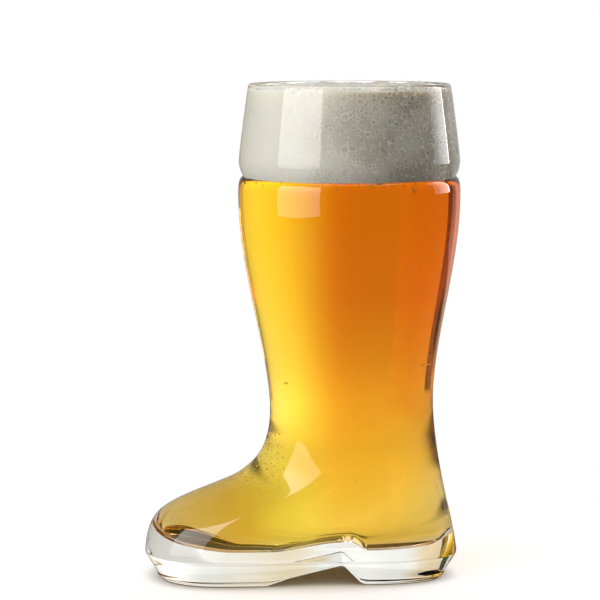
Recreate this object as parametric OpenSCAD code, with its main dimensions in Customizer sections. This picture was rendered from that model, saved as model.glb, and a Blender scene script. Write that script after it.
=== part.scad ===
// Boot-shaped beer glass, filled: the one-piece glass vessel, the beer in it and its head of foam.
// The toe points along -X, the rim is up and the sole stands on z = 0.
// Each body is one loft through level sections. In a section, "front" is towards the toe and
// "back" is towards the heel, both measured from the shaft's axis.

/* [Overall] */
// Height of the rim above the table
glass_h = 206; // [196:1:225]
// Reach of the toe in front of the shaft's axis
toe_reach = 85.6; // [80:0.2:92]
// Reach of the heel behind the shaft's axis
heel_reach = 45.3; // [42:0.1:48]

/* [Collar] */
// Outer diameter at the rim
rim_d = 83.6; // [80:0.2:88]
// Outer diameter of the collar's belly
collar_d = 91.7; // [89:0.1:95]
// Height of the collar, from the groove to the rim
collar_h = 38.4; // [34:0.2:44]
// Height of the belly above the groove
belly_h = 6.6; // [5:0.2:9]
// Outer diameter in the groove under the collar
groove_d = 88; // [85:0.2:88.8]

/* [Shaft] */
// Outer diameter of the shoulder under the groove
shoulder_d = 92.2; // [89.4:0.2:95]
// Distance of the full shoulder below the groove
shoulder_h = 6.6; // [4:0.2:9]
// Outer diameter at the ankle, the narrowest place
ankle_d = 68.2; // [64:0.2:72]
// Height of the ankle above the table
ankle_z = 72; // [67:0.5:78]
// How far the ankle lies behind the shaft's axis
ankle_lean = 1.1; // [0:0.1:2]

/* [Foot] */
// Width of the welt at the ball of the foot
ball_w = 68; // [65:0.5:72]
// Distance of the ball in front of the shaft's axis
ball_f = 52; // [47:0.5:57]
// Height of the welt, the edge where upper and sole meet
welt_z = 10.8; // [9.8:0.2:12]
// How far the sole tapers in below the welt
sole_taper = 4.9; // [4:0.1:6]

/* [Arch] */
// Height of the arch between sole and heel
arch_h = 9; // [6:0.2:9.4]
// Front end of the arch, in front of the shaft's axis
arch_front_f = 34; // [28:0.5:38]
// Peak of the arch, in front of the shaft's axis
arch_peak_f = 2.6; // [1:0.2:6]
// Foot of the heel's breast, behind the shaft's axis
breast_b = 5.6; // [4:0.2:8]

/* [Glass thickness] */
// Wall at the rim
rim_wall = 2.8; // [2.2:0.1:3.6]
// Wall at the ankle
ankle_wall = 4.2; // [3:0.1:5]
// Wall at the toe, along the welt
toe_wall = 10; // [7:0.2:12]
// Wall at the heel and the sides, along the welt
heel_wall = 7.4; // [5:0.2:8.6]
// Thickness of the sole under the ball and the heel
sole_t = 14.2; // [13:0.2:17]
// Radius of the cavity's bottom edge
cavity_r = 5.4; // [3:0.2:6]
// Rise of the cavity's floor over the arch
floor_rise = 3.8; // [0:0.2:5]

/* [Drink] */
// Depth of the beer's surface below the groove
beer_drop = 0.4; // [0:0.1:4]
// Height of the foam's crown above the rim
foam_crown = 0.8; // [0.2:0.2:4]
// Depth of the foam's edge below the rim
foam_drop = 1.6; // [1.6:0.2:4]
// Clearance of the drink to the glass, and of the foam to the beer
wet_gap = 0.1; // [0.05:0.01:0.3]

/* [Hidden] */

// Points in each section, and sections in each stretch of the loft
section_points = 44;
edge_sections = 3;
foot_sections = 24;
shaft_sections = 10;
groove_sections = 4;
belly_sections = 4;
collar_sections = 4;
lip_sections = 6;
fillet_sections = 4;
crown_sections = 4;
arc_steps = 4;

// Roundings of the sole's lower edge and of the welt
sole_edge_r = 2.4;
welt_r = 1.2;
// The shank's knee, where the arch turns flatter: shares of the way from its front end to its peak, and of its height
knee_share = 0.27;
knee_h_share = 0.37;
// Roundings of the arch
knee_r = 12;
peak_r = 2.6;
breast_r = 4.4;
// How far cuts run past what they cut
overrun = 2;
// Where the raised floor of the cavity ends behind the axis, and the height in which the rise fades out
floor_step_b = 8;
floor_fade_h = 22;
// Share of the groove's depth that shows on the inside
groove_inside_share = 0.5;

// The instep in side view, from welt to ankle: shares of the toe's reach past the ankle, and of the height
instep_shares = [[1, 0], [0.992, 0.07], [0.968, 0.155], [0.915, 0.236], [0.82, 0.3], [0.68, 0.36],
                 [0.48, 0.43], [0.3, 0.498], [0.168, 0.582], [0.08, 0.672], [0.026, 0.785], [0.004, 0.89], [0, 1]];
// The back of the heel in side view, evenly down from ankle to welt: shares of the heel's reach past the ankle
heel_shares = [0, 0.1, 0.28, 0.52, 0.8, 1];
// Fullness of each end of the welt: 2 is an ellipse
toe_full = 2.3;
heel_full = 2.9;
// Drawing in of the welt at the waist, where that lies from the heel forwards and how long it is
waist_share = 0.15;
waist_at_share = 0.41;
waist_length_share = 0.26;
// Curves of the flare, the shoulder, the belly and the collar, as exponents of their heights
flare_curve = 0.92;
shoulder_curve = 0.3;
belly_curve = 0.6;
collar_curve = 1.14;
lean_curve = 3;
// Share of the foot's height at which its outline has become round
round_share = 0.64;
// Share of the instep at which the toe's thick wall has thinned out
toe_wall_share = 0.45;

// Radii and heights that follow
rim_r = rim_d / 2;
collar_r = collar_d / 2;
groove_r = groove_d / 2;
shoulder_r = shoulder_d / 2;
ankle_r = ankle_d / 2;
lip_r = rim_wall / 2;
lip_z = glass_h - lip_r;
groove_z = glass_h - collar_h;
belly_z = groove_z + belly_h;
shoulder_z = groove_z - shoulder_h;
beer_z = groove_z - beer_drop;
foam_edge_z = glass_h - foam_drop;
// The shaft's axis lies so that toe and heel reach equally far from the origin
axis_x = (toe_reach - heel_reach) / 2;

function mix(a, b, share) = a + (b - a) * share;
function clamp01(u) = min(1, max(0, u));
function ease(u) = let (t = clamp01(u)) t * t * (3 - 2 * t);
function reversed(list) = [for (i = [len(list) - 1 : -1 : 0]) list[i]];
function stretch(low, high, count) = [for (k = [1 : count]) mix(low, high, k / count)];

// The place at v, from 0 to 1, on the smooth curve through evenly counted values
function along(values, v) =
    let (last = len(values) - 1,
         i = min(floor(clamp01(v) * last), last - 1),
         t = clamp01(v) * last - i,
         a = values[max(i - 1, 0)], b = values[i], c = values[i + 1], d = values[min(i + 2, last)])
    b + t / 2 * ((c - a) + t * ((2 * a - 5 * b + 4 * c - d) + t * (3 * b - a - 3 * c + d)));

// Outer radius of the round part; share is how deep the groove is, from 0 to 1
function round_r(z, share) =
    let (low = mix(shoulder_r, groove_r, share), high = mix(collar_r, groove_r, share))
    z >= belly_z ? mix(collar_r, rim_r, pow((z - belly_z) / (glass_h - belly_z), collar_curve))
    : z >= groove_z ? mix(high, collar_r, ease(pow((z - groove_z) / belly_h, belly_curve)))
    : z >= shoulder_z ? mix(low, shoulder_r, ease(pow((groove_z - z) / shoulder_h, shoulder_curve)))
    : mix(ankle_r, shoulder_r, ease(pow(clamp01((z - ankle_z) / (shoulder_z - ankle_z)), flare_curve)));
function round_wall(z) = mix(ankle_wall, rim_wall, clamp01((z - ankle_z) / (glass_h - ankle_z)));
function lean(z) = ankle_lean * pow(clamp01((shoulder_z - z) / (shoulder_z - ankle_z)), lean_curve);

// Instep in side view as [reach in front of the axis, height], and the wall along it
function instep(v) = let (s = along(instep_shares, v))
    [mix(ankle_r - ankle_lean, toe_reach, s[0]), mix(welt_z, ankle_z, s[1])];
function instep_wall(v) = mix(toe_wall, ankle_wall, ease(v / toe_wall_share));

// The cavity's instep: the glass's own, moved in square to it by the wall
function instep_inside(v) =
    let (step = 1 / foot_sections / 4,
         way = instep(min(1, v + step)) - instep(max(0, v - step)),
         out = [way[1], -way[0]] / norm(way))
    instep(v) - instep_wall(v) * out;

// Reach of the heel behind the axis at a height, and the wall at the heel and the sides
function foot_share(z) = clamp01((z - welt_z) / (ankle_z - welt_z));
function heel_back(z) = mix(ankle_r + ankle_lean, heel_reach, along(heel_shares, 1 - foot_share(z)));
function side_wall(z) = mix(heel_wall, ankle_wall, ease(foot_share(z)));

// A level section: [height, front, back, half width, widest place, toe's fullness, heel's fullness, waist, floor]
function foot_section(z, front, wall) =
    let (turned = ease(foot_share(z) / round_share))
    [z, front, heel_back(z) - wall, mix(ball_w / 2, ankle_r, turned) - wall, mix(ball_f, -ankle_lean, turned),
     mix(toe_full, 2, turned), mix(heel_full, 2, turned), mix(waist_share, 0, turned), 0];
function round_section(z, r) = [z, r - lean(z), r + lean(z), r, -lean(z), 2, 2, 0, 0];
function drawn_in(s, d) = [s[0], s[1] - d, s[2] - d, s[3] - d, s[4], s[5], s[6], s[7], s[8]];
function lifted(s, z, floor) = [z, s[1], s[2], s[3], s[4], s[5], s[6], s[7], floor];

// Rise of the cavity's floor over the arch, at a place in front of the axis
function floor_lift(f) = floor_rise
    * ease(f > arch_peak_f ? (arch_front_f - f) / (arch_front_f - arch_peak_f) : (floor_step_b + f) / floor_step_b);

// Share of the width that the waist takes away, at a place in front of the axis
function waist_at(f) =
    let (u = (f - mix(-heel_reach, toe_reach, waist_at_share)) / (waist_length_share * (toe_reach + heel_reach)))
    exp(-u * u * 2);

// The points of a section, round from the toe
function section_ring(s) = [
    for (i = [0 : section_points - 1])
        let (angle = 360 * i / section_points,
             f = mix(-s[2], s[1], (1 + cos(angle)) / 2),
             u = clamp01(f > s[4] ? (f - s[4]) / (s[1] - s[4]) : (s[4] - f) / (s[4] + s[2])),
             full = f > s[4] ? s[5] : s[6],
             wide = s[3] * (1 - s[7] * waist_at(f)) * pow(1 - pow(u, full), 1 / full))
        [-f, i % (section_points / 2) == 0 ? 0 : sign(sin(angle)) * wide, s[0] + s[8] * floor_lift(f)]];

// A solid through sections that rise along its outside, and may come back down inside
module loft(sections) {
    n = section_points;
    last = (len(sections) - 1) * n;
    points = [for (s = sections) each section_ring(s)];
    sides = [for (j = [0 : len(sections) - 2], i = [0 : n - 1])
        let (a = j * n + i, b = j * n + (i + 1) % n)
        each [[a, b, b + n], [a, b + n, a + n]]];
    cap = [for (i = [0 : n / 2 - 1])
        let (a = i, b = i + 1, c = n - b, d = (n - a) % n)
        each [if (b != c) [a, c, b], if (a != d) [a, d, c]]];
    far_cap = [for (t = cap) [t[0] + last, t[2] + last, t[1] + last]];
    polyhedron(points, concat(sides, cap, far_cap));
}

// Outside of the sole, from the flat underside up to the welt
function sole_outside() =
    let (welt = foot_section(welt_z, toe_reach, 0))
    concat(
        [for (k = [0 : edge_sections])
            let (a = 90 * k / edge_sections)
            lifted(drawn_in(welt, sole_taper + sole_edge_r * (1 - sin(a))), sole_edge_r * (1 - cos(a)), 0)],
        [lifted(drawn_in(welt, welt_r * 0.4), welt_z - welt_r, 0)]);
function foot_outside() = [for (k = [0 : foot_sections])
    let (p = instep(k / foot_sections)) foot_section(p[1], p[0], 0)];

// Heights of the sections above the ankle
round_heights = concat(stretch(ankle_z, shoulder_z, shaft_sections), stretch(shoulder_z, groove_z, groove_sections),
                       stretch(groove_z, belly_z, belly_sections));
function collar_heights(top) = stretch(belly_z, top, collar_sections);
function round_outside(heights) = [for (z = heights) round_section(z, round_r(z, 1))];

// The lip rolls over from the outside to the inside
function lip() = [for (k = [1 : lip_sections - 1])
    let (a = 180 * k / lip_sections)
    round_section(lip_z + lip_r * sin(a), round_r(lip_z, 1) - lip_r * (1 - cos(a)))];

// Inside of the glass, from the cavity's floor upwards; a lining makes it smaller
cavity_instep = [for (k = [0 : foot_sections]) instep_inside(k / foot_sections)];
function cavity_low() =
    let (top = sole_t + cavity_r,
         wall = foot_section(top, lookup(top, [for (p = cavity_instep) [p[1], p[0]]]), side_wall(top)))
    [for (k = [0 : fillet_sections])
        let (a = 90 * k / fillet_sections)
        lifted(drawn_in(wall, cavity_r * (1 - sin(a))), sole_t + cavity_r * (1 - cos(a)), 1)];
function cavity_foot() = [for (p = cavity_instep)
    if (p[1] > sole_t + cavity_r * 1.1 && p[1] < ankle_z)
        lifted(foot_section(p[1], p[0], side_wall(p[1])), p[1], 1 - ease((p[1] - sole_t - cavity_r) / floor_fade_h))];
function cavity_round(heights) = [for (z = heights)
    round_section(z, round_r(z, groove_inside_share) - round_wall(z))];
function cavity(heights, lining) = [for (s = concat(cavity_low(), cavity_foot(), cavity_round(heights)))
    lifted(drawn_in(s, lining), s[0] + (s[0] < sole_t + cavity_r ? lining : 0), s[8])];

// A corner of a path, rounded by an arc
function rounded(before, at, after, r) =
    let (u = (before - at) / norm(before - at), w = (after - at) / norm(after - at),
         half = acos(u * w) / 2,
         middle = at + (u + w) / norm(u + w) * r / sin(half),
         from = at + u * r / tan(half) - middle,
         to = at + w * r / tan(half) - middle,
         start = atan2(from[1], from[0]),
         turn = (atan2(to[1], to[0]) - start + 540) % 360 - 180)
    [for (k = [0 : arc_steps]) middle + r * [cos(start + turn * k / arc_steps), sin(start + turn * k / arc_steps)]];

// The hollow under the shank, open to both sides, with the heel's breast behind it
module arch_cutter() {
    start = [-arch_front_f, 0];
    peak = [-arch_peak_f, arch_h];
    knee = [mix(start[0], peak[0], knee_share), arch_h * knee_h_share];
    breast = [breast_b, 0];
    behind = [breast_b + breast_r, 0];
    rotate([90, 0, 0])
    linear_extrude(ball_w + overrun, center = true)
    polygon(concat([[start[0], -overrun], start], rounded(start, knee, peak, knee_r), rounded(knee, peak, breast, peak_r),
                   rounded(peak, breast, behind, breast_r), [[behind[0], -overrun]]));
}

module glass_boot() {
    outside = concat(sole_outside(), foot_outside(), round_outside(concat(round_heights, collar_heights(lip_z))));
    inside = cavity(concat([ankle_z], round_heights, collar_heights(lip_z)), 0);
    color("lightcyan", 0.4)
    translate([axis_x, 0, 0])
    difference() {
        loft(concat(outside, lip(), reversed(inside)));
        arch_cutter();
    }
}

module beer() {
    heights = [for (z = concat([ankle_z], round_heights)) if (z < beer_z - wet_gap) z];
    color("orange", 0.85)
    translate([axis_x, 0, 0])
    loft(cavity(concat(heights, [beer_z]), wet_gap));
}

module foam_head() {
    low = beer_z + wet_gap;
    heights = concat([low], [for (z = round_heights) if (z > low + wet_gap) z], collar_heights(foam_edge_z));
    edge = round_r(foam_edge_z, 1) - round_wall(foam_edge_z) - wet_gap;
    crown = [for (k = [1 : crown_sections])
        let (a = 80 * k / crown_sections)
        round_section(mix(foam_edge_z, glass_h + foam_crown, sin(a)), edge * cos(a))];
    color("ivory")
    translate([axis_x, 0, 0])
    loft(concat([for (s = cavity_round(heights)) drawn_in(s, wet_gap)], crown));
}

glass_boot();
beer();
foam_head();
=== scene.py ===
"""A boot-shaped beer glass, filled with beer under a head of foam, in a soft white studio.

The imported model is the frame: the vessel, the beer and the foam are built again here as fine
meshes from the sizes of the glass's own drawing, in millimetres, and stand for its three nodes.
The toe points along -X, the rim is up and the sole stands on z = 0.
"""

import logging
import math
from dataclasses import dataclass, replace
from enum import Enum

import bpy
import numpy as np
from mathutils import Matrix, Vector


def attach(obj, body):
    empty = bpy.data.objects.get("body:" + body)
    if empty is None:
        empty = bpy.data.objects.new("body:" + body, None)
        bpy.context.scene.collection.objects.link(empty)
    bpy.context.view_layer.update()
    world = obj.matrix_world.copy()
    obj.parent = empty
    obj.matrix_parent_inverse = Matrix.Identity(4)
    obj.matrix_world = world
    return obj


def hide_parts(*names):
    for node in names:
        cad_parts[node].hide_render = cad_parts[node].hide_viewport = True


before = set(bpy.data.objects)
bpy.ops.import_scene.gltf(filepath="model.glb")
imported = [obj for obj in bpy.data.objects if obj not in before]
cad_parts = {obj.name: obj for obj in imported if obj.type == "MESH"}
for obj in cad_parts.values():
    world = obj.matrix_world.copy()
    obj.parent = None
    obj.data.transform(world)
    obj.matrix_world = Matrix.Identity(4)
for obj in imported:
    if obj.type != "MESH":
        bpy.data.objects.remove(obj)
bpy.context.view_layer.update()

log = logging.getLogger("boot_glass")
MM = 0.001
CM2_PER_M2 = 1e4
ROUND = 2.0
WHITE = (1, 1, 1, 1)
BLACK = (0, 0, 0, 1)
Socket = bpy.types.NodeSocket
Ring = np.ndarray


class Slot(Enum):
    """The record's material slots."""

    CLEAR_GLASS = "clear_glass"
    AMBER_BEER = "amber_beer"
    BEER_FOAM = "beer_foam"


class Part(Enum):
    """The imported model's nodes."""

    VESSEL = "glass_boot"
    BEER = "beer"
    FOAM = "foam_head"


class Ray(Enum):
    """The kinds of ray that a finish tells apart, by the names of the Light Path's outputs."""

    CAMERA = "Is Camera Ray"
    SHADOW = "Is Shadow Ray"
    DIFFUSE = "Is Diffuse Ray"
    GLOSSY = "Is Glossy Ray"
    REFLECTION = "Is Reflection Ray"
    TRANSMISSION = "Is Transmission Ray"


LAMP_RAYS = (Ray.SHADOW, Ray.DIFFUSE)
ALL_RAYS = (*LAMP_RAYS, Ray.CAMERA, Ray.GLOSSY, Ray.TRANSMISSION)


def mix(a: float, b: float, share: float) -> float:
    """Returns the value a share of the way from a to b."""
    return a + (b - a) * share


def held(u: float) -> float:
    """Returns a value held between 0 and 1."""
    return min(max(u, 0.0), 1.0)


def ease(u: float) -> float:
    """Returns a smooth step from 0 to 1."""
    t = np.clip(u, 0.0, 1.0)
    return t * t * (3 - 2 * t)


def along(values: np.ndarray, v: float) -> np.ndarray:
    """Follows the smooth curve through evenly counted values.

    Args:
        values: the values or points the curve passes.
        v: the place on the curve, from 0 to 1.

    Returns:
        The value or point there.
    """
    values = np.asarray(values, float)
    last = len(values) - 1
    place = held(v) * last
    i = min(int(place), last - 1)
    t = place - i
    a, b, c, d = values[max(i - 1, 0)], values[i], values[i + 1], values[min(i + 2, last)]
    return b + t / 2 * ((c - a) + t * ((2 * a - 5 * b + 4 * c - d) + t * (3 * b - a - 3 * c + d)))


@dataclass(frozen=True)
class Section:
    """A level cut through the glass: "front" is towards the toe, "back" towards the heel."""

    z: float
    front: float
    back: float
    half_width: float
    widest: float = 0.0
    toe_full: float = ROUND
    heel_full: float = ROUND
    waist: float = 0.0
    floor: float = 0.0

    def drawn_in(self, d: float) -> "Section":
        """Returns the section made smaller by d all round."""
        return replace(self, front=self.front - d, back=self.back - d, half_width=self.half_width - d)


@dataclass(frozen=True)
class BootShape:
    """The glass's sizes in millimetres, as in its drawing, and the curves that follow from them.

    A name ending in _f is a place in front of the shaft's axis and one in _b a place behind it.
    A name ending in _curve is the power that bends a curve.
    """

    glass_h: float = 206.0
    toe_reach: float = 85.6
    heel_reach: float = 45.3
    rim_d: float = 83.6
    collar_d: float = 91.7
    collar_h: float = 38.4
    belly_h: float = 6.6
    groove_d: float = 88.0
    groove_inside_share: float = 0.5
    shoulder_d: float = 92.2
    shoulder_h: float = 6.6
    ankle_d: float = 68.2
    ankle_z: float = 72.0
    ankle_lean: float = 1.1
    ball_w: float = 68.0
    ball_f: float = 52.0
    toe_full: float = 2.3
    heel_full: float = 2.9
    waist_share: float = 0.15
    waist_at_share: float = 0.41
    waist_length_share: float = 0.26
    round_share: float = 0.64
    welt_z: float = 10.8
    welt_r: float = 1.2
    sole_taper: float = 4.9
    sole_edge_r: float = 2.4
    arch_h: float = 9.0
    arch_front_f: float = 34.0
    arch_peak_f: float = 2.6
    breast_b: float = 5.6
    arch_edge_r: float = 0.9
    knee_share: float = 0.27
    knee_h_share: float = 0.37
    knee_r: float = 12.0
    peak_r: float = 2.6
    breast_r: float = 4.4
    rim_wall: float = 2.8
    ankle_wall: float = 4.2
    toe_wall: float = 10.0
    toe_wall_share: float = 0.45
    heel_wall: float = 7.4
    sole_t: float = 14.2
    cavity_r: float = 5.4
    floor_rise: float = 3.8
    floor_step_b: float = 8.0
    floor_fade_h: float = 22.0
    beer_drop: float = 0.4
    foam_crown: float = 0.8
    foam_drop: float = 1.6
    flare_curve: float = 0.92
    shoulder_curve: float = 0.3
    belly_curve: float = 0.6
    collar_curve: float = 1.14
    lean_curve: float = 3.0
    instep_shares: tuple = ((1, 0), (0.992, 0.07), (0.968, 0.155), (0.915, 0.236), (0.82, 0.3),
                            (0.68, 0.36), (0.48, 0.43), (0.3, 0.498), (0.168, 0.582),
                            (0.08, 0.672), (0.026, 0.785), (0.004, 0.89), (0, 1))
    heel_shares: tuple = (0, 0.1, 0.28, 0.52, 0.8, 1)
    ring_points: int = 288
    outline_steps: int = 900
    slope_step: float = 1 / 96
    dense_f: float = -1.0
    dense_reach: float = 9.0
    dense_gain: float = 1.5

    @property
    def axis_x(self) -> float:
        """Where the shaft's axis stands."""
        return (self.toe_reach - self.heel_reach) / 2

    @property
    def ankle_r(self) -> float:
        """Radius at the ankle."""
        return self.ankle_d / 2

    @property
    def groove_z(self) -> float:
        """Height of the groove under the collar."""
        return self.glass_h - self.collar_h

    @property
    def belly_z(self) -> float:
        """Height of the collar's widest place."""
        return self.groove_z + self.belly_h

    @property
    def shoulder_z(self) -> float:
        """Height of the shaft's full shoulder."""
        return self.groove_z - self.shoulder_h

    @property
    def beer_z(self) -> float:
        """Height of the beer's surface."""
        return self.groove_z - self.beer_drop

    @property
    def lip_r(self) -> float:
        """Radius of the rolled lip."""
        return self.rim_wall / 2

    @property
    def lip_z(self) -> float:
        """Height where the lip begins to roll over."""
        return self.glass_h - self.lip_r

    def round_r(self, z: float, groove: float) -> float:
        """Follows the outside above the ankle.

        Args:
            z: the height.
            groove: how much of the groove's depth is there, from 0 to 1.

        Returns:
            The outer radius at that height.
        """
        collar_r, shoulder_r, groove_r = self.collar_d / 2, self.shoulder_d / 2, self.groove_d / 2
        if z >= self.belly_z:
            share = (z - self.belly_z) / (self.glass_h - self.belly_z)
            return mix(collar_r, self.rim_d / 2, share**self.collar_curve)
        if z >= self.groove_z:
            share = ((z - self.groove_z) / self.belly_h) ** self.belly_curve
            return mix(mix(collar_r, groove_r, groove), collar_r, ease(share))
        if z >= self.shoulder_z:
            share = ((self.groove_z - z) / self.shoulder_h) ** self.shoulder_curve
            return mix(mix(shoulder_r, groove_r, groove), shoulder_r, ease(share))
        share = max((z - self.ankle_z) / (self.shoulder_z - self.ankle_z), 0.0)
        return mix(self.ankle_r, shoulder_r, ease(share**self.flare_curve))

    def round_wall(self, z: float) -> float:
        """Returns the wall above the ankle."""
        return mix(self.ankle_wall, self.rim_wall, held((z - self.ankle_z) / (self.glass_h - self.ankle_z)))

    def inner_r(self, z: float) -> float:
        """Returns the cavity's radius above the ankle."""
        return self.round_r(z, self.groove_inside_share) - self.round_wall(z)

    def round_section(self, z: float, r: float) -> Section:
        """Returns a round cut, which leans back towards the ankle."""
        down = held((self.shoulder_z - z) / (self.shoulder_z - self.ankle_z))
        lean = down**self.lean_curve * self.ankle_lean
        return Section(z, r - lean, r + lean, r, widest=-lean)

    def instep(self, v: float) -> np.ndarray:
        """Returns the instep's reach and height in side view, at v from welt to ankle."""
        reach, height = along(self.instep_shares, v)
        return np.array([mix(self.ankle_r - self.ankle_lean, self.toe_reach, reach),
                         mix(self.welt_z, self.ankle_z, height)])

    def instep_inside(self, v: float) -> np.ndarray:
        """Follows the cavity's instep, which lies a wall's thickness square in from the glass's own.

        Args:
            v: the place on the curve, from 0 at the welt to 1 at the ankle.

        Returns:
            The reach and height there.
        """
        way = self.instep(min(1, v + self.slope_step)) - self.instep(max(0, v - self.slope_step))
        wall = mix(self.toe_wall, self.ankle_wall, ease(v / self.toe_wall_share))
        return self.instep(v) - wall * np.array([way[1], -way[0]]) / np.linalg.norm(way)

    def foot_share(self, z: float) -> float:
        """Returns how far up the foot a height is."""
        return held((z - self.welt_z) / (self.ankle_z - self.welt_z))

    def side_wall(self, z: float) -> float:
        """Returns the wall at the heel and the sides."""
        return mix(self.heel_wall, self.ankle_wall, ease(self.foot_share(z)))

    def foot_section(self, z: float, front: float, wall: float) -> Section:
        """Cuts the foot, whose outline turns from a sole's to a round one.

        Args:
            z: the height of the cut.
            front: how far it reaches in front of the axis.
            wall: how far it lies inside the glass's own outline at the heel and the sides.

        Returns:
            The cut.
        """
        up = self.foot_share(z)
        turned = ease(up / self.round_share)
        back = mix(self.ankle_r + self.ankle_lean, self.heel_reach, along(self.heel_shares, 1 - up))
        return Section(z, front, back - wall, mix(self.ball_w / 2, self.ankle_r, turned) - wall,
                       mix(self.ball_f, -self.ankle_lean, turned), mix(self.toe_full, ROUND, turned),
                       mix(self.heel_full, ROUND, turned), mix(self.waist_share, 0, turned))

    def floor_lift(self, f: np.ndarray) -> np.ndarray:
        """Returns the rise of the cavity's floor over the arch, at places in front of the axis."""
        ahead = (self.arch_front_f - f) / (self.arch_front_f - self.arch_peak_f)
        behind = (self.floor_step_b + f) / self.floor_step_b
        return self.floor_rise * ease(np.where(f > self.arch_peak_f, ahead, behind))

    def outline(self, s: Section) -> np.ndarray:
        """Lays out a section's points, evenly along its outline and closer at the arch.

        Args:
            s: the section.

        Returns:
            An array of ring_points rows of place in front of the axis and place across.
        """
        u = np.linspace(0, 1, self.outline_steps)
        turn = math.pi * (u - np.sin(2 * math.pi * u) / (2 * math.pi))
        f = mix(-s.back, s.front, (1 + np.cos(turn)) / 2)
        ahead = f > s.widest
        reach = np.where(ahead, (f - s.widest) / (s.front - s.widest), (s.widest - f) / (s.widest + s.back))
        full = np.where(ahead, s.toe_full, s.heel_full)
        waist_length = self.waist_length_share * (self.toe_reach + self.heel_reach)
        at_waist = (f - mix(-self.heel_reach, self.toe_reach, self.waist_at_share)) / waist_length
        y = s.half_width * (1 - s.waist * np.exp(-2 * at_waist**2))
        y = y * (1 - np.clip(reach, 0, 1) ** full) ** (1 / full)
        middle = (f[1:] + f[:-1]) / 2
        closer = 1 + self.dense_gain * np.exp(-(((middle - self.dense_f) / self.dense_reach) ** 2))
        way = np.concatenate([[0], np.cumsum(np.hypot(np.diff(f), np.diff(y)) * closer)])
        spots = np.linspace(0, way[-1], self.ring_points // 2 + 1)
        half = np.column_stack([np.interp(spots, way, f), np.interp(spots, way, y)])
        half[[0, -1], 1] = 0
        return np.vstack([half, half[-2:0:-1] * (1, -1)])

    def placed(self, plan: np.ndarray, z: np.ndarray) -> Ring:
        """Returns a ring's points in the frame, from its plan and heights."""
        return np.column_stack([self.axis_x - plan[:, 0], plan[:, 1], np.broadcast_to(z, len(plan))])

    def ring(self, s: Section) -> Ring:
        """Returns a section's points in the frame."""
        plan = self.outline(s)
        return self.placed(plan, s.z + s.floor * self.floor_lift(plan[:, 0]))


def rounded_corner(before: np.ndarray, at: np.ndarray, after: np.ndarray, r: float,
                   points: int = 14) -> list:
    """Rounds a corner of a path.

    Args:
        before: the point before the corner.
        at: the corner.
        after: the point after it.
        r: the arc's radius.
        points: how many points the arc has.

    Returns:
        The arc's points.
    """
    u, w = (before - at) / np.linalg.norm(before - at), (after - at) / np.linalg.norm(after - at)
    half = math.acos(u @ w) / 2
    middle = at + (u + w) / np.linalg.norm(u + w) * r / math.sin(half)
    start, end = at + u * r / math.tan(half) - middle, at + w * r / math.tan(half) - middle
    first = math.atan2(start[1], start[0])
    turn = (math.atan2(end[1], end[0]) - first + 3 * math.pi) % (2 * math.pi) - math.pi
    return [middle + r * np.array([math.cos(first + turn * k), math.sin(first + turn * k)])
            for k in np.linspace(0, 1, points)]


def skin(name: str, rings: list, cap_rows: int) -> bpy.types.Object:
    """Joins rings into a closed, outward-facing mesh object.

    Args:
        name: the object's name.
        rings: point rings in millimetres, each of the same even count, from one end to the other.
        cap_rows: rows of faces across each end.

    Returns:
        The linked object, with smooth faces and its place in its mesh.
    """
    count, half = len(rings[0]), len(rings[0]) // 2
    points = [p for ring in rings for p in ring]
    faces = []
    for row in range(len(rings) - 1):
        a = row * count
        for i in range(count):
            j = (i + 1) % count
            faces.append((a + i, a + j, a + count + j, a + count + i))

    def close(first: int) -> None:
        """Fills an end ring with rows of faces across it.

        Args:
            first: the number of the ring's first point.
        """
        rows = [[first]]
        for i in range(1, half):
            near, far = first + i, first + count - i
            row = [near]
            for k in range(1, cap_rows):
                points.append(mix(np.array(points[near]), np.array(points[far]), k / cap_rows))
                row.append(len(points) - 1)
            rows.append([*row, far])
        rows.append([first + half])
        for one, two in zip(rows, rows[1:]):
            for k in range(cap_rows):
                corners = [one[min(k, len(one) - 1)], one[min(k + 1, len(one) - 1)],
                           two[min(k + 1, len(two) - 1)], two[min(k, len(two) - 1)]]
                corners = tuple(dict.fromkeys(corners))
                faces.append(corners[::-1] if first else corners)

    close(0)
    close((len(rings) - 1) * count)
    return solid(name, np.array(points), faces)


def solid(name: str, points: np.ndarray, faces: list) -> bpy.types.Object:
    """Makes a linked mesh object whose faces point outwards.

    Args:
        name: the object's name.
        points: the points in millimetres.
        faces: the faces, all wound the same way.

    Returns:
        The object.
    """
    mesh = bpy.data.meshes.new(name)
    mesh.from_pydata((points * MM).tolist(), [], faces)
    mesh.calc_loop_triangles()
    flat = np.zeros(len(mesh.loop_triangles) * 3, np.int32)
    mesh.loop_triangles.foreach_get("vertices", flat)
    a, b, c = points[flat.reshape(-1, 3)].transpose(1, 0, 2)
    if np.einsum("ij,ij->i", a, np.cross(b, c)).sum() < 0:
        mesh.flip_normals()
    mesh.shade_smooth()
    mesh.validate()
    piece = bpy.data.objects.new(name, mesh)
    bpy.context.scene.collection.objects.link(piece)
    return piece


def stand_for(piece: bpy.types.Object, part: Part) -> None:
    """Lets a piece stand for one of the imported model's nodes.

    Args:
        piece: the piece.
        part: the node.
    """
    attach(piece, "root")
    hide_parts(part.value)


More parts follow.
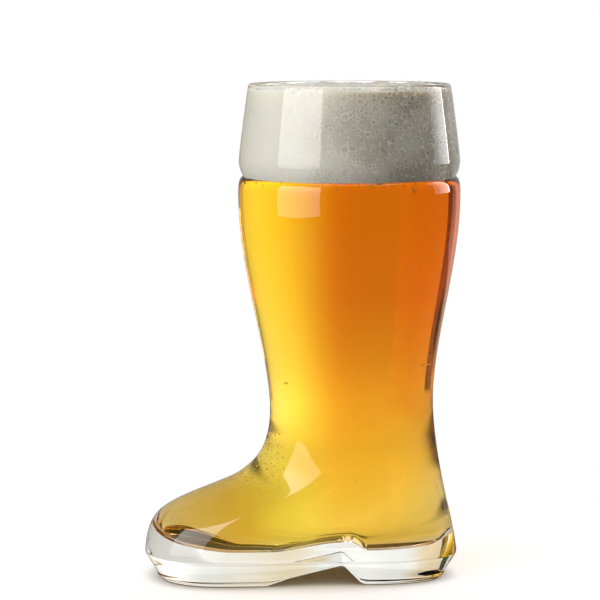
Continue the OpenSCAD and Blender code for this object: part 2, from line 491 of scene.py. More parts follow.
class Nodes:
    """Lays out the nodes of one material, world or geometry tree."""

    def __init__(self, tree: bpy.types.NodeTree) -> None:
        """Starts with an empty tree."""
        tree.nodes.clear()
        self.tree = tree

    def add(self, kind: str, inputs: dict | None = None, **settings: object) -> bpy.types.Node:
        """Adds a node.

        Args:
            kind: the node's type.
            inputs: values or output sockets for the node's inputs, by name or number.
            settings: the node's own settings.

        Returns:
            The node.
        """
        node = self.tree.nodes.new(kind)
        for key, value in settings.items():
            setattr(node, key, value)
        for key, value in (inputs or {}).items():
            if isinstance(value, Socket):
                self.tree.links.new(value, node.inputs[key])
            else:
                node.inputs[key].default_value = value
        return node

    def math(self, operation: str, a: object, b: object = 0.0, clamp: bool = False) -> Socket:
        """Returns the result of a sum on numbers or sockets."""
        return self.add("ShaderNodeMath", {0: a, 1: b}, operation=operation, use_clamp=clamp).outputs[0]

    def times(self, first: object, *others: object) -> Socket:
        """Returns the product of numbers or sockets."""
        for other in others:
            first = self.math("MULTIPLY", first, other)
        return first

    def spread(self, value: Socket, low: float, high: float, to_low: float = 0.0, to_high: float = 1.0,
               smooth: bool = True) -> Socket:
        """Returns a value moved from one range to another, clamped."""
        kind = "SMOOTHSTEP" if smooth else "LINEAR"
        return self.add("ShaderNodeMapRange", {0: value, 1: low, 2: high, 3: to_low, 4: to_high},
                        interpolation_type=kind).outputs[0]

    def vector(self, operation: str, a: object, b: object = (0, 0, 0)) -> Socket:
        """Returns the result of a sum on vectors."""
        node = self.add("ShaderNodeVectorMath", {0: a, 1: b}, operation=operation)
        return node.outputs["Value" if operation in ("LENGTH", "DOT_PRODUCT") else "Vector"]

    def scaled(self, vector: Socket, factor: object) -> Socket:
        """Returns a vector times a number."""
        return self.add("ShaderNodeVectorMath", {0: vector, "Scale": factor}, operation="SCALE").outputs[0]

    def parts(self, vector: Socket) -> tuple:
        """Returns a vector's x, y and z."""
        return tuple(self.add("ShaderNodeSeparateXYZ", {0: vector}).outputs)

    def place(self) -> Socket:
        """Returns the place on the object."""
        return self.add("ShaderNodeTexCoord").outputs["Object"]

    def rays(self, *kinds: Ray) -> list:
        """Returns, for each kind of ray, whether the ray is of that kind."""
        path = self.add("ShaderNodeLightPath")
        return [path.outputs[kind.value] for kind in kinds]

    def blend(self, share: object, a: object, b: object) -> Socket:
        """Mixes two colours.

        Args:
            share: how far the result is from a to b.
            a: a colour or a socket.
            b: a colour or a socket.

        Returns:
            The mixed colour.
        """
        node = self.add("ShaderNodeMix", data_type="RGBA")
        for index, value in ((0, share), (6, a), (7, b)):
            if isinstance(value, Socket):
                self.tree.links.new(value, node.inputs[index])
            else:
                node.inputs[index].default_value = value
        return node.outputs[2]

    def noise(self, place: Socket, scale: float, detail: float, roughness: float = 0.5) -> bpy.types.Node:
        """Adds a noise texture."""
        return self.add("ShaderNodeTexNoise", {"Vector": place, "Scale": scale, "Detail": detail,
                                               "Roughness": roughness})

    def bump(self, height: Socket, depth_mm: float) -> Socket:
        """Returns the surface's direction under a relief."""
        sizes = {"Strength": 1.0, "Distance": depth_mm * MM, "Height": height}
        return self.add("ShaderNodeBump", sizes).outputs[0]

    def absorbing(self, colour: tuple, density: float) -> Socket:
        """Returns a body that takes up light."""
        return self.add("ShaderNodeVolumeAbsorption", {"Color": colour, "Density": density}).outputs[0]

    def glow(self, strength: object, colour: object = WHITE) -> Socket:
        """Returns a light."""
        return self.add("ShaderNodeEmission", {"Color": colour, "Strength": strength}).outputs[0]

    def see_through(self, tint: object = WHITE) -> Socket:
        """Returns a surface that light passes straight."""
        return self.add("ShaderNodeBsdfTransparent", {"Color": tint}).outputs[0]

    def either(self, share: Socket, a: Socket, b: Socket) -> Socket:
        """Returns a surface a share of the way from a to b."""
        return self.add("ShaderNodeMixShader", {0: share, 1: a, 2: b}).outputs[0]

    def finish(self, surface: Socket, body: Socket | None = None) -> None:
        """Ends a material's sheet in its surface, and in its body where it has one."""
        ends = {"Surface": surface} if body is None else {"Surface": surface, "Volume": body}
        self.add("ShaderNodeOutputMaterial", ends)


def new_material(name: str) -> tuple:
    """Returns a new material and its empty node sheet."""
    material = bpy.data.materials.new(name)
    material.use_nodes = True
    return material, Nodes(material.node_tree)


def passing_straight(nodes: Nodes, clear: Socket, tint: object, kinds: tuple) -> Socket:
    """Lets some kinds of ray pass a clear surface straight.

    Args:
        nodes: the material's sheet.
        clear: the refracting surface.
        tint: what the straight light keeps, as a colour or a socket.
        kinds: the kinds of ray that pass.

    Returns:
        The mixed surface.
    """
    straight, *others = nodes.rays(*kinds)
    for other in others:
        straight = nodes.math("MAXIMUM", straight, other)
    return nodes.either(straight, clear, nodes.see_through(tint))


@dataclass(frozen=True)
class ClearGlassFinish:
    """Fire-polished pressed glass, with the faint ripples of its mould."""

    name: str = "clear_glass"
    ior: float = 1.5
    ripple_scale: float = 34.0
    ripple_mm: float = 0.05
    tint: tuple = (0.985, 0.992, 0.985, 1.0)
    body: tuple = (0.89, 0.90, 0.85, 1.0)
    body_density: float = 20.0

    def material(self) -> bpy.types.Material:
        """Returns the finish as a material."""
        material, nodes = new_material(self.name)
        ripple = nodes.noise(nodes.place(), self.ripple_scale, 1.0, roughness=0.4).outputs[0]
        clear = nodes.add("ShaderNodeBsdfPrincipled", {
            "Base Color": WHITE, "Roughness": 0.0, "IOR": self.ior, "Transmission Weight": 1.0,
            "Normal": nodes.bump(ripple, self.ripple_mm)})
        surface = passing_straight(nodes, clear.outputs[0], self.tint, LAMP_RAYS)
        nodes.finish(surface, nodes.absorbing(self.body, self.body_density) if self.body_density else None)
        return material


@dataclass(frozen=True)
class AmberBeerFinish:
    """Clear wheat beer: gold where it is thin and deep amber where it is thick.

    The glass's wetted side bends the light between glass and beer, so the beer's own boundary
    lets it pass straight and its body takes the colour out of it. The boundary's tint is painted
    shade: it deepens the amber towards the heel, up the shaft and towards the toe; those places
    are in metres.
    """

    ior: float = 1.34
    absorbs: tuple = (0.996, 0.906, 0.30, 1.0)
    density: float = 80.0
    # bright to deep is the painted shade's range, from unshaded to shaded amber
    bright: tuple = (1.0, 1.0, 1.0, 1.0)
    deep: tuple = (0.917, 0.583, 0.387, 1.0)
    heel_shade_x_m: tuple = (-0.001, 0.019)
    shaft_shade_z_m: tuple = (0.03, 0.12)
    foot_share: float = 0.25
    toe_shade_x_m: tuple = (-0.008, -0.03)
    toe_shade_z_m: tuple = (0.07, 0.05)
    toe_shade_share: float = 0.28

    def material(self) -> bpy.types.Material:
        """Returns the finish as a material."""
        material, nodes = new_material("amber_beer")
        x, _, z = nodes.parts(nodes.place())
        # Painted shade: the tint deepens the amber towards the heel, higher up the shaft and towards the
        # toe.
        up = nodes.spread(z, *self.shaft_shade_z_m, self.foot_share, 1.0, smooth=False)
        heel = nodes.times(nodes.spread(x, *self.heel_shade_x_m), up)
        toe = nodes.times(nodes.spread(x, *self.toe_shade_x_m, 0.0, self.toe_shade_share),
                          nodes.spread(z, *self.toe_shade_z_m))
        tint = nodes.blend(nodes.math("ADD", heel, toe), self.bright, self.deep)
        clear = nodes.add("ShaderNodeBsdfPrincipled", {
            "Base Color": tint, "Roughness": 0.0, "IOR": self.ior, "Transmission Weight": 1.0})
        surface = passing_straight(nodes, clear.outputs[0], tint, ALL_RAYS)
        nodes.finish(surface, nodes.absorbing(self.absorbs, self.density))
        return material


@dataclass(frozen=True)
class BubbleSize:
    """One size of bubble in the froth; its largest radius and its wall are shares of a cell."""

    per_m: float
    largest: float
    wall: float
    share: float


@dataclass(frozen=True)
class FoamFinish:
    """Dense beer foam: fine froth with patches of larger, darker bubbles; coarser and browner to the heel,
    partly painted shade.
    """

    name: str = "beer_foam"
    froth: tuple = (0.90, 0.87, 0.78, 1.0)
    hollow: tuple = (0.34, 0.25, 0.11, 1.0)
    coarse_and_shaded_x_m: tuple = (-0.012, 0.045)
    calm_share: float = 0.1
    wobble_per_m: float = 260.0
    wobble_mm: float = 1.4
    finest: BubbleSize = BubbleSize(per_m=640.0, largest=0.62, wall=0.16, share=1.4)
    larger: tuple = (BubbleSize(per_m=330.0, largest=0.5, wall=0.085, share=0.8),
                     BubbleSize(per_m=160.0, largest=0.4, wall=0.05, share=0.3))
    walls_behind: float = 0.4
    patches_per_m: float = 60.0
    patch_range: tuple = (0.38, 0.64)
    patch_shares: tuple = (0.3, 0.62)
    inside_share: float = 0.2
    wall_share: float = 0.72
    bump_mm: float = 0.4
    roughness: float = 0.4
    ior: float = 1.33
    scatter_mm: float = 8.0
    scatter_colour: tuple = (1.0, 0.85, 0.55)
    coat: float = 0.6
    coat_roughness: float = 0.02

    def bubbles(self, nodes: Nodes, place: Socket, size: BubbleSize) -> tuple:
        """Lays out the bubbles of one size.

        Args:
            nodes: the material's sheet.
            place: the place on the foam.
            size: the bubbles' size.

        Returns:
            How much of a bubble's wall, and how much of its inside, is at the place.
        """
        cell = nodes.add("ShaderNodeTexVoronoi", {"Vector": place, "Scale": size.per_m})
        draw = nodes.add("ShaderNodeSeparateColor", {0: cell.outputs["Color"]}).outputs[0]
        radius = nodes.spread(draw, 1 - size.share, 1.0, -2 * size.wall, size.largest, smooth=False)
        depth = nodes.math("SUBTRACT", radius, cell.outputs["Distance"])
        walls = nodes.spread(nodes.math("ABSOLUTE", depth), 0.0, size.wall, 1.0, 0.0)
        return walls, nodes.spread(depth, 0.0, size.wall)

    def material(self) -> bpy.types.Material:
        """Returns the finish as a material."""
        material, nodes = new_material(self.name)
        place = nodes.place()
        # Partly painted shade: towards the heel the bubbles grow coarser and their dark hollows spread,
        # from larger bubbles and as shade on the foam's shaded side.
        coarse_and_shaded = nodes.spread(nodes.parts(place)[0], *self.coarse_and_shaded_x_m, self.calm_share, 1.0, smooth=False)
        wobble = nodes.noise(place, self.wobble_per_m, 2.0).outputs["Color"]
        place = nodes.vector("ADD", place, nodes.scaled(wobble, self.wobble_mm * MM))
        walls, insides = self.bubbles(nodes, place, self.finest)
        for size in self.larger:
            wider, hollows = self.bubbles(nodes, place, size)
            behind = nodes.times(walls, nodes.spread(hollows, 0.0, 1.0, 1.0, self.walls_behind))
            walls = nodes.math("ADD", behind, wider, clamp=True)
            insides = nodes.math("MAXIMUM", insides, hollows)
        patch = nodes.noise(place, self.patches_per_m, 3.0).outputs[0]
        share = nodes.math("ADD", nodes.spread(patch, *self.patch_range, *self.patch_shares),
                           nodes.times(insides, self.inside_share))
        share = nodes.math("SUBTRACT", share, nodes.times(walls, self.wall_share), clamp=True)
        surface = nodes.add("ShaderNodeBsdfPrincipled", {
            "Base Color": nodes.blend(nodes.times(share, coarse_and_shaded), self.froth, self.hollow),
            "Roughness": self.roughness, "IOR": self.ior,
            "Normal": nodes.bump(nodes.times(walls, coarse_and_shaded), self.bump_mm),
            "Subsurface Weight": 1.0, "Subsurface Radius": self.scatter_colour,
            "Subsurface Scale": self.scatter_mm * MM,
            "Coat Weight": self.coat, "Coat Roughness": self.coat_roughness})
        nodes.finish(surface.outputs[0])
        return material


@dataclass(frozen=True)
class BubbleFinish:
    """A gas bubble in the beer, seen as a thin bright ring round a dark edge."""

    ior: float = 0.75

    def material(self) -> bpy.types.Material:
        """Returns the finish as a material."""
        material, nodes = new_material("gas_bubble")
        clear = nodes.add("ShaderNodeBsdfGlass", {"Color": WHITE, "Roughness": 0.0, "IOR": self.ior})
        nodes.finish(passing_straight(nodes, clear.outputs[0], WHITE, LAMP_RAYS))
        return material


@dataclass
class GlassVessel:
    """The one-piece glass: arched sole, boot foot, shaft, groove, collar and rolled lip.

    A name ending in _rows counts rows of faces; the other sizes are in millimetres.
    """

    shape: BootShape
    sole_edge_rows: int = 6
    sole_side_rows: int = 6
    welt_rows: int = 3
    foot_rows: int = 96
    outside_rows: tuple = (28, 12, 14)
    lip_rows: int = 10
    corner_rows: int = 8
    cavity_foot_rows: int = 72
    cavity_rows: tuple = (24, 8, 10)
    cap_rows: int = 10
    groove_closeness: float = 2.2
    inset_steps: int = 30
    settling_turns: int = 8
    welt_foot_in: float = 0.48
    welt_edge_in: float = 0.2
    welt_edge_h: float = 0.6
    arch_edge_h: float = 2.5
    spare: float = 0.1
    over_corner: float = 0.5
    under_ankle: float = 0.4
    under_top: float = 0.05

    def arch_height(self, f: np.ndarray) -> np.ndarray:
        """Follows the underside of the arch.

        Args:
            f: places in front of the axis.

        Returns:
            The height at each place.
        """
        s = self.shape
        start, peak = np.array([-s.arch_front_f, 0]), np.array([-s.arch_peak_f, s.arch_h])
        knee = np.array([mix(start[0], peak[0], s.knee_share), s.arch_h * s.knee_h_share])
        breast, behind = np.array([s.breast_b, 0]), np.array([s.breast_b + s.breast_r, 0])
        path = np.array([start, *rounded_corner(start, knee, peak, s.knee_r),
                         *rounded_corner(knee, peak, breast, s.peak_r),
                         *rounded_corner(peak, breast, behind, s.breast_r)])
        return np.interp(-f, path[:, 0], path[:, 1], left=0, right=0)

    def sole_rings(self) -> list:
        """Builds the sole's outside, from the arched underside up to the welt.

        Returns:
            The rings, whose points rise and draw in where the arch lifts them.
        """
        s = self.shape
        welt = s.foot_section(s.welt_z, s.toe_reach, 0.0)
        insets = np.linspace(0, s.sole_taper + s.sole_edge_r + self.spare, self.inset_steps)
        plans = np.stack([s.outline(welt.drawn_in(d)) for d in insets])
        rank = np.arange(s.ring_points)
        low, high = s.sole_edge_r, s.welt_z - s.welt_r
        heights = [0, low, high, high + self.welt_edge_h, s.welt_z]
        tapers = [s.sole_taper, s.sole_taper, self.welt_foot_in, self.welt_edge_in, 0.0]

        def level(edge_turn: float, side: float, welt_share: float) -> Ring:
            """Builds one ring.

            Args:
                edge_turn: how far round the edge's rounding it lies, up to a right angle.
                side: how far up the side, from 0 to 1.
                welt_share: how far up the welt, from 0 to 1.

            Returns:
                The ring.
            """
            d = np.zeros(s.ring_points)
            for _ in range(self.settling_turns):
                row = np.clip(d / insets[1], 0, len(insets) - 1.001)
                i, t = row.astype(int), (row % 1)[:, None]
                plan = plans[i, rank] * (1 - t) + plans[i + 1, rank] * t
                h = self.arch_height(plan[:, 0])
                r = mix(s.sole_edge_r, s.arch_edge_r, ease(h / self.arch_edge_h))
                z = h + r * (1 - math.cos(edge_turn))
                top = np.maximum(high, h + r + self.spare)
                z = mix(mix(z, top, side), s.welt_z, welt_share)
                edge_in = r * (1 - math.sin(edge_turn)) if side == 0 else 0
                d = np.interp(np.maximum(z, h + r), heights, tapers) + edge_in
            return s.placed(plan, z)

        right_angle = math.pi / 2
        edge = [level(right_angle * k / self.sole_edge_rows, 0, 0) for k in range(self.sole_edge_rows + 1)]
        side = [level(right_angle, k / self.sole_side_rows, 0) for k in range(1, self.sole_side_rows + 1)]
        return edge + side + [level(right_angle, 1, k / self.welt_rows) for k in range(1, self.welt_rows)]

    def round_heights(self, shaft: int, groove: int, collar: int) -> list:
        """Lays out the rows above the ankle, which lie closest in the groove.

        Args:
            shaft: rows up the shaft.
            groove: rows from the shoulder to the groove, and as many from there to the belly.
            collar: rows from the belly to the lip.

        Returns:
            The rows' heights, from the ankle up.
        """
        s = self.shape
        near = [(k / groove) ** self.groove_closeness for k in range(groove + 1)]
        return [*np.linspace(s.ankle_z, s.shoulder_z, shaft + 1),
                *(s.groove_z - s.shoulder_h * share for share in near[-2::-1]),
                *(s.groove_z + s.belly_h * share for share in near[1:]),
                *np.linspace(s.belly_z, s.lip_z, collar + 1)[1:]]

    def outside_rings(self) -> list:
        """Returns the outside above the sole, from the welt to the lip."""
        s = self.shape
        foot = [s.instep(k / self.foot_rows) for k in range(self.foot_rows + 1)]
        rings = [s.ring(s.foot_section(z, front, 0.0)) for front, z in foot]
        heights = self.round_heights(*self.outside_rows)[1:]
        return rings + [s.ring(s.round_section(z, s.round_r(z, 1))) for z in heights]

    def lip_rings(self) -> list:
        """Returns the lip, which rolls over from the outside to the inside."""
        s = self.shape
        turns = [math.pi * k / self.lip_rows for k in range(1, self.lip_rows)]
        return [s.ring(s.round_section(s.lip_z + s.lip_r * math.sin(a),
                                       s.round_r(s.lip_z, 1) - s.lip_r * (1 - math.cos(a)))) for a in turns]

    def cavity_rings(self, top: float, lining: float) -> list:
        """Builds the inside of the glass.

        Args:
            top: the height the rings end at.
            lining: how much smaller than the glass's own the cavity is.

        Returns:
            The rings from the floor's edge up to top.
        """
        s = self.shape
        inner = [s.instep_inside(k / self.cavity_foot_rows) for k in range(self.cavity_foot_rows + 1)]
        corner_z = s.sole_t + s.cavity_r
        front = np.interp(corner_z, [p[1] for p in inner], [p[0] for p in inner])
        wall = s.foot_section(corner_z, front, s.side_wall(corner_z))
        sections = []
        for k in range(self.corner_rows + 1):
            a = math.pi / 2 * k / self.corner_rows
            drawn = wall.drawn_in(s.cavity_r * (1 - math.sin(a)) + lining)
            sections.append(replace(drawn, z=s.sole_t + s.cavity_r * (1 - math.cos(a)) + lining, floor=1.0))
        for front, z in inner:
            if corner_z + self.over_corner < z < s.ankle_z - self.under_ankle:
                cut = s.foot_section(z, front, s.side_wall(z)).drawn_in(lining)
                sections.append(replace(cut, floor=1 - ease((z - corner_z) / s.floor_fade_h)))
        heights = [z for z in self.round_heights(*self.cavity_rows) if z < top - self.under_top] + [top]
        sections += [s.round_section(z, s.inner_r(z) - lining) for z in heights]
        return [s.ring(cut) for cut in sections]

    def build(self, finish: ClearGlassFinish, wetted: ClearGlassFinish) -> bpy.types.Object:
        """Builds the vessel and dresses it.

        Args:
            finish: the glass's finish.
            wetted: its finish where the beer wets it.

        Returns:
            The vessel.
        """
        s = self.shape
        inside = self.cavity_rings(s.lip_z, 0.0)
        rings = self.sole_rings() + self.outside_rings() + self.lip_rings() + inside[::-1]
        vessel = skin("glass_vessel", rings, self.cap_rows)
        vessel.data.materials.append(finish.material())
        vessel.data.materials.append(wetted.material())
        first_inside = (len(rings) - len(inside)) * s.ring_points
        first_cap = len(rings) * s.ring_points
        in_sole, beer_top = mix(s.arch_h, s.sole_t, 0.5) * MM, s.beer_z * MM
        for face in vessel.data.polygons:
            first, z = min(face.vertices), face.center.z
            if first >= first_inside and z < beer_top and (first < first_cap or z > in_sole):
                face.material_index = 1
        stand_for(vessel, Part.VESSEL)
        return vessel


@dataclass
class BeerFill:
    """The beer, which wets the glass all round."""

    vessel: GlassVessel
    wetting: float = 0.06
    into_foam: float = 0.3
    cap_rows: int = 12

    def build(self, finish: AmberBeerFinish) -> bpy.types.Object:
        """Builds the beer and dresses it.

        Args:
            finish: the beer's finish.

        Returns:
            The beer.
        """
        rings = self.vessel.cavity_rings(self.vessel.shape.beer_z + self.into_foam, -self.wetting)
        beer = skin("beer_fill", rings, self.cap_rows)
        beer.data.materials.append(finish.material())
        stand_for(beer, Part.BEER)
        return beer


@dataclass(frozen=True)
class Relief:
    """A smooth random relief: waves of many directions, added up. Its sizes are in millimetres."""

    longest: float
    height: float
    waves: int
    seed: int
    shortest_share: float = 0.35
    peak: float = 1.6

    def at(self, x: np.ndarray, y: np.ndarray) -> np.ndarray:
        """Adds the waves up.

        Args:
            x: places along the first direction.
            y: places along the second.

        Returns:
            The relief at each place.
        """
        draw = np.random.default_rng(self.seed)
        total = np.zeros_like(x)
        for _ in range(self.waves):
            way, start = draw.uniform(0, 2 * math.pi, 2)
            length = self.longest * draw.uniform(self.shortest_share, 1.0)
            total += np.sin((x * math.cos(way) + y * math.sin(way)) * 2 * math.pi / length + start)
        return total / math.sqrt(self.waves / 2) / self.peak * self.height


@dataclass
class FoamHead:
    """The head of foam: a frothy body with a heaped top and a ragged lower edge.

    A name ending in _share or _shares is a share of the foam's radius.
    """

    shape: BootShape
    points_round: int = 400
    wall_rows: int = 57
    top_rows: int = 59
    cap_rows: int = 4
    wetting: float = 0.12
    below: float = 0.5
    edge_drop: float = 0.6
    crown_drop: float = 1.5
    under_shares: tuple = (0.0, 0.25, 0.5, 0.75, 0.9, 1.0)
    under_middle_share: float = 0.02
    top_middle_shares: tuple = (0.04, 0.01)
    heap_share: float = 0.16
    lump_share: float = 0.1
    rim_share: float = 0.03
    lumps: Relief = Relief(longest=26, height=0.7, waves=9, seed=8)
    froth: Relief = Relief(longest=6, height=0.16, waves=12, seed=9)
    foot: Relief = Relief(longest=9, height=0.28, waves=14, seed=10)
    foot_round: float = 44.0
    rim: Relief = Relief(longest=30, height=0.35, waves=8, seed=11)
    rim_round: float = 42.0

    @property
    def edge_z(self) -> float:
        """Height of the foam's top at the glass."""
        return self.shape.glass_h - self.shape.foam_drop - self.edge_drop

    def wall_r(self, z: float) -> float:
        """Returns the foam's radius at a height, just into the glass."""
        return self.shape.inner_r(z) + self.wetting

    def top_height(self, x: np.ndarray, y: np.ndarray, share: float) -> np.ndarray:
        """Follows the foam's top: low at the glass, heaped inside, with lumps.

        Args:
            x: places along the foot, from the axis.
            y: places across it.
            share: the places' share of the foam's radius.

        Returns:
            The height at each place.
        """
        crown = self.shape.glass_h + self.shape.foam_crown - self.crown_drop
        heap = mix(self.edge_z, crown, ease((1 - share) / self.heap_share))
        return heap + self.lumps.at(x, y) * ease((1 - share) / self.lump_share) + self.froth.at(x, y)

    def build(self, finish: FoamFinish) -> bpy.types.Object:
        """Builds the foam and dresses it.

        Args:
            finish: the foam's finish.

        Returns:
            The foam.
        """
        s = self.shape
        turn = np.linspace(0, 2 * math.pi, self.points_round, endpoint=False)
        cos, sin = -np.cos(turn), np.sin(turn)
        low, high = s.beer_z - self.below, self.edge_z
        ragged = self.foot.at(turn * self.foot_round, turn * 0)
        wavy = self.rim.at(turn * self.rim_round, turn * 0)
        rings = []
        for share in self.under_shares:
            r = self.wall_r(low) * max(share, self.under_middle_share)
            rings.append(np.column_stack([s.axis_x + cos * r, sin * r, low + ragged * share**2]))
        for z in np.linspace(low, high, self.wall_rows + 1)[1:]:
            drop = (high - z) / (high - low)
            level = z + ragged * drop**6 + wavy * (1 - drop) ** 4
            r = np.array([self.wall_r(h) for h in level])
            rings.append(np.column_stack([s.axis_x + cos * r, sin * r, level]))
        rim = rings[-1]
        inner, last = self.top_middle_shares
        for share in [*np.linspace(1, inner, self.top_rows + 1)[1:], last]:
            x, y = (rim[:, 0] - s.axis_x) * share, rim[:, 1] * share
            z = mix(rim[:, 2], self.top_height(x, y, share), ease((1 - share) / self.rim_share))
            rings.append(np.column_stack([s.axis_x + x, y, z]))
        foam = skin("foam_body", rings, self.cap_rows)
        foam.data.materials.append(finish.material())
        stand_for(foam, Part.FOAM)
        return foam


@dataclass(frozen=True)
class BubbleBed:
    """Bubbles that cling to a stretch of a surface, scattered by geometry nodes."""

    name: str
    centre_mm: tuple
    reach_mm: tuple
    facing: tuple
    least_facing: float
    per_cm2: float
    smallest_mm: float
    largest_mm: float
    sunk: float
    seed: int
    edge_fade: tuple = (0.5, 1.0)
    mostly_small: float = 3.0
    segments: int = 8
    rings: int = 6

    def tree(self) -> bpy.types.NodeTree:
        """Lays out the scattering tree, whose sizes are its named inputs.

        Returns:
            The geometry node tree.
        """
        tree = bpy.data.node_groups.new(f"scatter_{self.name}", "GeometryNodeTree")
        kinds = {"Geometry": "Geometry", "Centre": "Vector", "Reach": "Vector", "Facing": "Vector",
                 "Least Facing": "Float", "Density": "Float", "Smallest": "Float", "Largest": "Float",
                 "Sunk": "Float", "Seed": "Int", "Material": "Material"}
        for name, kind in kinds.items():
            tree.interface.new_socket(name, in_out="INPUT", socket_type=f"NodeSocket{kind}")
        tree.interface.new_socket("Bubbles", in_out="OUTPUT", socket_type="NodeSocketGeometry")
        nodes = Nodes(tree)
        given = nodes.add("NodeGroupInput").outputs
        place = nodes.vector("SUBTRACT", nodes.add("GeometryNodeInputPosition").outputs[0], given["Centre"])
        away = nodes.vector("LENGTH", nodes.vector("DIVIDE", place, given["Reach"]))
        normal = nodes.add("GeometryNodeInputNormal").outputs[0]
        faces = nodes.vector("DOT_PRODUCT", normal, given["Facing"])
        wanted = nodes.times(nodes.spread(away, *self.edge_fade, 1.0, 0.0),
                             nodes.math("GREATER_THAN", faces, given["Least Facing"]), given["Density"])
        spots = nodes.add("GeometryNodeDistributePointsOnFaces", {
            "Mesh": given["Geometry"], "Density": wanted, "Seed": given["Seed"]})
        draw = nodes.add("FunctionNodeRandomValue", {2: 0.0, 3: 1.0, "Seed": given["Seed"]},
                         data_type="FLOAT")
        share = nodes.math("POWER", draw.outputs[1], self.mostly_small)
        span = nodes.math("SUBTRACT", given["Largest"], given["Smallest"])
        radius = nodes.math("ADD", nodes.times(share, span), given["Smallest"])
        inwards = nodes.scaled(spots.outputs["Normal"], nodes.times(radius, given["Sunk"], -1.0))
        moved = nodes.add("GeometryNodeSetPosition", {
            "Geometry": spots.outputs["Points"], "Offset": inwards})
        ball = nodes.add("GeometryNodeMeshUVSphere", {
            "Segments": self.segments, "Rings": self.rings, "Radius": 1.0})
        smooth = nodes.add("GeometryNodeSetShadeSmooth", {"Geometry": ball.outputs[0]})
        placed = nodes.add("GeometryNodeInstanceOnPoints", {
            "Points": moved.outputs[0], "Instance": smooth.outputs[0], "Scale": radius})
        real = nodes.add("GeometryNodeRealizeInstances", {0: placed.outputs[0]})
        done = nodes.add("GeometryNodeSetMaterial", {
            "Geometry": real.outputs[0], "Material": given["Material"]})
        nodes.add("NodeGroupOutput", {0: done.outputs[0]})
        return tree

    def build(self, host: bpy.types.Object, part: Part, slot: Slot,
              material: bpy.types.Material) -> bpy.types.Object:
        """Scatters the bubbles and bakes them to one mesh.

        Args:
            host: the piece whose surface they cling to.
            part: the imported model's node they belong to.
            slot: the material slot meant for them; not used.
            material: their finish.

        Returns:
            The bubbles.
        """
        bed = bpy.data.objects.new(self.name, host.data)
        bpy.context.scene.collection.objects.link(bed)
        tree = self.tree()
        modifier = bed.modifiers.new("scatter", "NODES")
        modifier.node_group = tree
        sizes = {"Centre": [v * MM for v in self.centre_mm], "Reach": [v * MM for v in self.reach_mm],
                 "Facing": list(self.facing), "Least Facing": self.least_facing,
                 "Density": self.per_cm2 * CM2_PER_M2, "Smallest": self.smallest_mm * MM,
                 "Largest": self.largest_mm * MM, "Sunk": self.sunk, "Seed": self.seed,
                 "Material": material}
        for name, size in sizes.items():
            modifier[tree.interface.items_tree[name].identifier] = size
        graph = bpy.context.evaluated_depsgraph_get()
        baked = bpy.data.meshes.new_from_object(bed.evaluated_get(graph), depsgraph=graph)
        bed.modifiers.remove(modifier)
        bed.data = baked
        baked.name = self.name
        baked.materials.clear()
        baked.materials.append(material)
        baked.polygons.foreach_set("material_index", [0] * len(baked.polygons))
        stand_for(bed, part)
        return bed


def gas_beds(shape: BootShape) -> list:
    """Returns where gas clings in the beer: at the instep, in the toe, on the shaft, in the groove."""
    return [
        BubbleBed("instep_bubbles", centre_mm=(-16, 0, 48), reach_mm=(18, 32, 22), facing=(-0.8, 0, 0.6),
                  least_facing=0.3, per_cm2=34, smallest_mm=0.2, largest_mm=0.55, sunk=1.4, seed=3),
        BubbleBed("toe_bubbles", centre_mm=(-44, 0, 28), reach_mm=(26, 30, 14), facing=(-0.2, 0, 1),
                  least_facing=0.45, per_cm2=9, smallest_mm=0.16, largest_mm=0.4, sunk=1.4, seed=4),
        BubbleBed("shaft_bubbles", centre_mm=(20, 0, 95), reach_mm=(46, 50, 84), facing=(0, 0, -1),
                  least_facing=-0.6, per_cm2=0.4, smallest_mm=0.16, largest_mm=0.36, sunk=1.4, seed=5),
        BubbleBed("collar_bubbles", centre_mm=(shape.axis_x, 0, shape.groove_z - 2), reach_mm=(60, 60, 3.2),
                  facing=(0, 0, -1), least_facing=-0.3, per_cm2=34, smallest_mm=0.2, largest_mm=0.75,
                  sunk=1.3, seed=6)]


def foam_bed(shape: BootShape) -> BubbleBed:
    """Returns where bubbles stand out of the foam's top."""
    return BubbleBed("foam_bubbles", centre_mm=(shape.axis_x, 0, shape.glass_h - 1), reach_mm=(50, 50, 14),
                     facing=(0, 0, 1), least_facing=0.5, per_cm2=17, smallest_mm=0.3, largest_mm=1.1,
                     sunk=0.65, seed=8)


def stage_sheet(name: str, finish: str, corners: list) -> tuple:
    """Sets up one flat sheet of the stage.

    Args:
        name: the sheet's name.
        finish: its material's name.
        corners: its four corners in metres.

    Returns:
        The sheet and the empty node sheet of its material.
    """
    mesh = bpy.data.meshes.new(name)
    mesh.from_pydata([tuple(map(float, corner)) for corner in corners], [], [(0, 1, 2, 3)])
    sheet = bpy.data.objects.new(name, mesh)
    bpy.context.scene.collection.objects.link(sheet)
    material, nodes = new_material(finish)
    mesh.materials.append(material)
    return sheet, nodes


